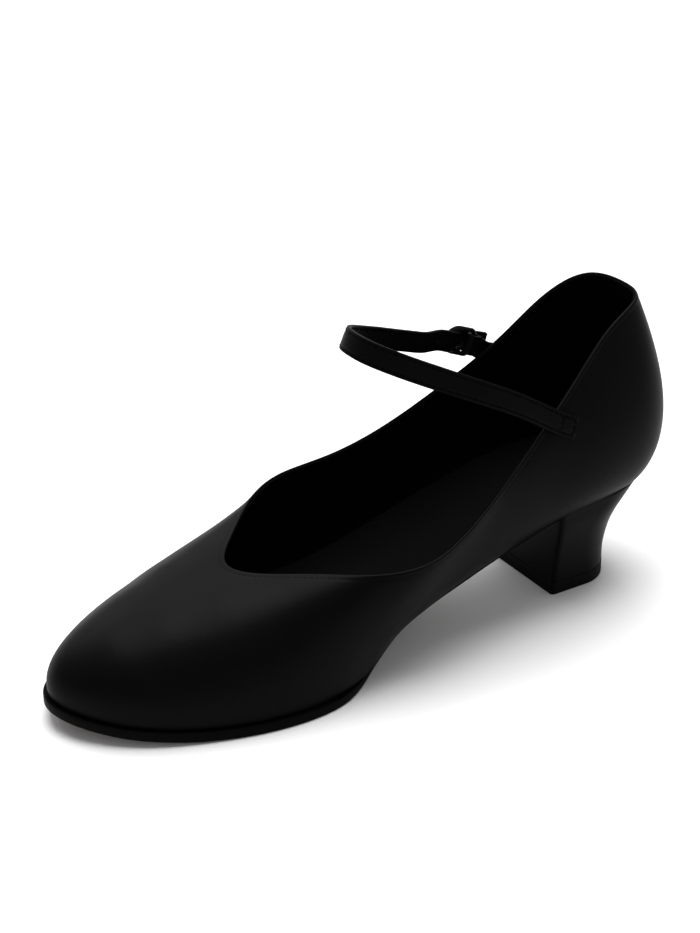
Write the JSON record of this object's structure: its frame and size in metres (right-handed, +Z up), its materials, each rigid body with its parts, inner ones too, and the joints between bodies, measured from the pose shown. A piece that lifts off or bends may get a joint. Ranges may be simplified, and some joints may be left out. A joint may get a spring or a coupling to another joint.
{
  "type": "character shoe",
  "caption": "Right-foot character shoe: low-cut black leather pump with a round toe, one narrow buckled instep strap and a covered block heel.",
  "frame": {"origin": "centre of the heel's tread, on the floor", "axes": "+X along the shoe towards the toe, +Y towards the inner side of the foot, +Z up"},
  "size_m": [0.2433, 0.0837, 0.1138],
  "materials": {
    "upper_leather": "fine-grain black leather, satin",
    "sole_leather": "sole leather with a black waxed edge",
    "sock_lining": "dark grey lining leather, matt",
    "heel_cover": "black leather cover, satin",
    "tip_rubber": "black rubber, matt",
    "strap_leather": "black leather with stitched edges, satin",
    "tab_leather": "black leather, satin",
    "buckle_metal": "dark nickel plate, semi-gloss",
    "prong_metal": "dark nickel plate, semi-gloss"
  },
  "bodies": {
    "root": {"upper": "upper_leather", "outsole": "sole_leather", "insole": "sock_lining", "heel_block": "heel_cover", "heel_tip": "tip_rubber", "strap": "strap_leather", "buckle_tab": "tab_leather", "buckle_frame": "buckle_metal", "buckle_prong": "prong_metal"}
  },
  "joints": []
}
